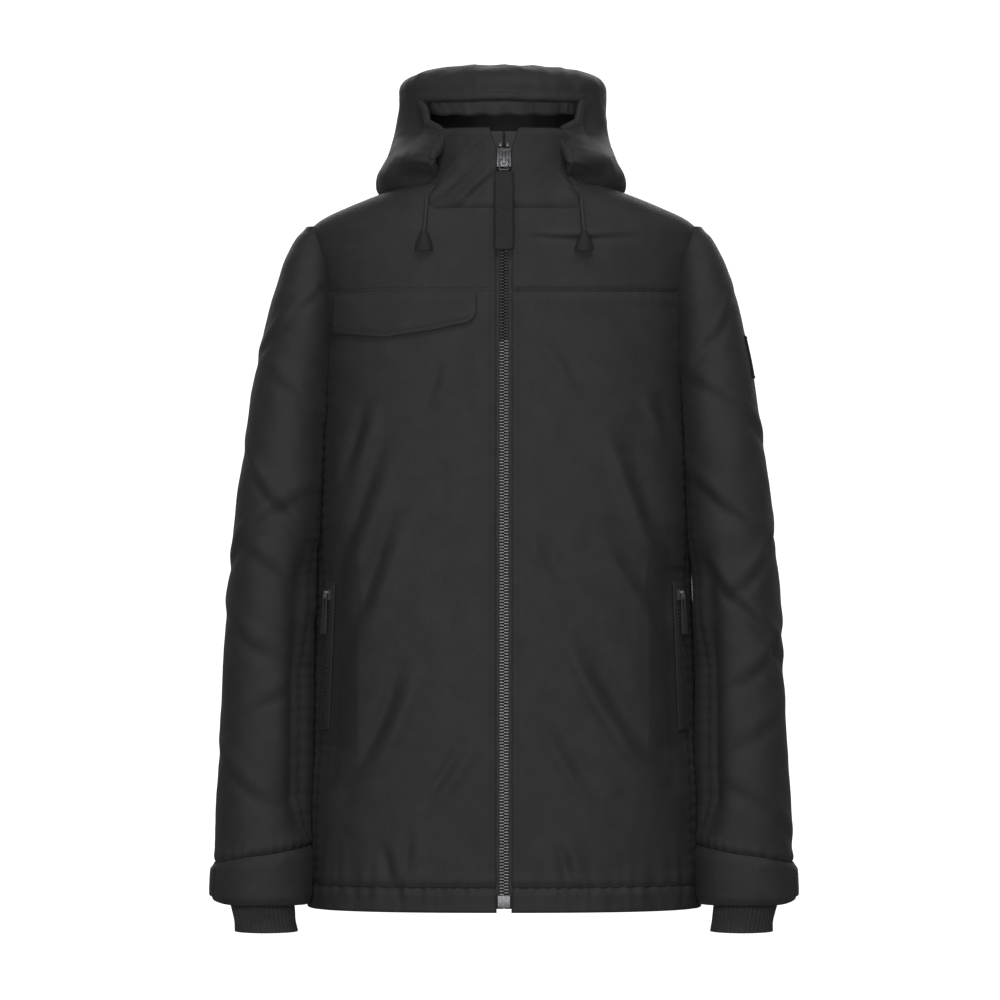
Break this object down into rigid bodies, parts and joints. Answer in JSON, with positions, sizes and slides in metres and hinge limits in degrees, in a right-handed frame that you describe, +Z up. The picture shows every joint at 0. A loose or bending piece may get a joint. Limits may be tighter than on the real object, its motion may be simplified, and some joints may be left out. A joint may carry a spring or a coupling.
{
  "type": "ski jacket",
  "caption": "Padded hip-length ski jacket with a hood, stand collar, full front zip, zipped hand pockets, a chest flap and strapped cuffs.",
  "frame": {"origin": "the hanger loop's hang point, inside the back of the neck", "axes": "+Z up, +X to the wearer's left, -Y to the front"},
  "size_m": [0.5922, 0.2774, 0.866],
  "materials": {
    "shell": "black woven nylon, matt",
    "lining": "smooth black taffeta",
    "knit": "black stretch knit",
    "cord": "black braided cord",
    "tape": "woven zip tape",
    "teeth": "dark nickel teeth",
    "zip_metal": "dark nickel",
    "tag": "soft moulded tag, blank",
    "plastic": "black moulded plastic",
    "badge": "blank woven patch",
    "hook_patch": "hook and loop tape"
  },
  "bodies": {
    "jacket": {"back_panel": "shell", "back_yoke": "shell", "body_lining": "lining", "chest_pocket": "lining", "collar_back": "shell", "collar_left": "shell", "collar_lining": "lining", "collar_right": "shell", "cord_end_left": "plastic", "cord_end_right": "plastic", "cord_eyelets": "plastic", "cuff_left": "shell", "cuff_patches": "hook_patch", "cuff_right": "shell", "drawcord_left": "cord", "drawcord_right": "cord", "front_panel_left": "shell", "front_panel_right": "shell", "front_yoke_left": "shell", "front_yoke_right": "shell", "hanger_loop": "cord", "hem_band": "shell", "hem_cord": "cord", "hood_base": "shell", "hood_fold": "shell", "inner_cuff_left": "knit", "inner_cuff_right": "knit", "pocket_bag_left": "lining", "pocket_bag_right": "lining", "pocket_zip_left": "tape", "pocket_zip_right": "tape", "side_panel_left": "shell", "side_panel_right": "shell", "sleeve_badge": "badge", "sleeve_linings": "lining", "under_sleeve_left": "shell", "under_sleeve_right": "shell", "upper_sleeve_left": "shell", "upper_sleeve_right": "shell", "zip_box": "zip_metal", "zip_tape_left": "tape", "zip_tape_right": "tape", "zip_teeth_left": "teeth", "zip_teeth_right": "teeth", "zip_top_stops": "zip_metal"},
    "zip_slider": {"zip_slider": "zip_metal"},
    "zip_pull": {"zip_pull": "zip_metal", "zip_tag": "tag"},
    "hood": {"hood_brim": "shell", "hood_centre_panel": "shell", "hood_side_right": "shell", "hood_side_left": "shell", "hood_lining": "lining"},
    "chest_flap": {"chest_flap": "shell"},
    "cuff_tab_right": {"cuff_tab_right": "shell"},
    "cuff_tab_left": {"cuff_tab_left": "shell"},
    "pocket_slider_right": {"pocket_slider_right": "zip_metal"},
    "pocket_slider_left": {"pocket_slider_left": "zip_metal"},
    "pocket_pull_right": {"pocket_pull_right": "zip_metal"},
    "pocket_pull_left": {"pocket_pull_left": "zip_metal"}
  },
  "joints": [
    {"name": "zip_slide", "type": "slide", "parent": "jacket", "child": "zip_slider", "axis": [0, -0.0703, -0.9975], "range_m": [0, 0.723]},
    {"name": "zip_pull_swing", "type": "hinge", "parent": "zip_slider", "child": "zip_pull", "pos_m": [0, -0.15648, 0.01785], "axis": [-1, 0, 0], "range_deg": [0, 110]},
    {"name": "hood_fold_back", "type": "hinge", "parent": "jacket", "child": "hood", "pos_m": [0, -0.045, 0.018], "axis": [-1, 0, 0], "range_deg": [0, 24], "deforming": ["hood_fold"]},
    {"name": "chest_flap_lift", "type": "hinge", "parent": "jacket", "child": "chest_flap", "pos_m": [-0.0935, -0.1652, -0.1155], "axis": [-1, 0, 0], "range_deg": [0, 100]},
    {"name": "cuff_tab_right_peel", "type": "hinge", "parent": "jacket", "child": "cuff_tab_right", "pos_m": [-0.2895, -0.1503, -0.704], "axis": [0, 0, 1], "range_deg": [0, 110]},
    {"name": "cuff_tab_left_peel", "type": "hinge", "parent": "jacket", "child": "cuff_tab_left", "pos_m": [0.2895, -0.1503, -0.704], "axis": [0, 0, -1], "range_deg": [0, 110]},
    {"name": "pocket_slide_right", "type": "slide", "parent": "jacket", "child": "pocket_slider_right", "axis": [-0.039, -0.0304, -0.9988], "range_m": [0, 0.118]},
    {"name": "pocket_pull_right_swing", "type": "hinge", "parent": "pocket_slider_right", "child": "pocket_pull_right", "pos_m": [-0.1796, -0.12555, -0.41645], "axis": [-0.614, 0.7893, 0], "range_deg": [0, 28]},
    {"name": "pocket_slide_left", "type": "slide", "parent": "jacket", "child": "pocket_slider_left", "axis": [0.039, -0.0304, -0.9988], "range_m": [0, 0.118]},
    {"name": "pocket_pull_left_swing", "type": "hinge", "parent": "pocket_slider_left", "child": "pocket_pull_left", "pos_m": [0.1796, -0.12555, -0.41645], "axis": [-0.614, -0.7893, 0], "range_deg": [0, 28]}
  ]
}
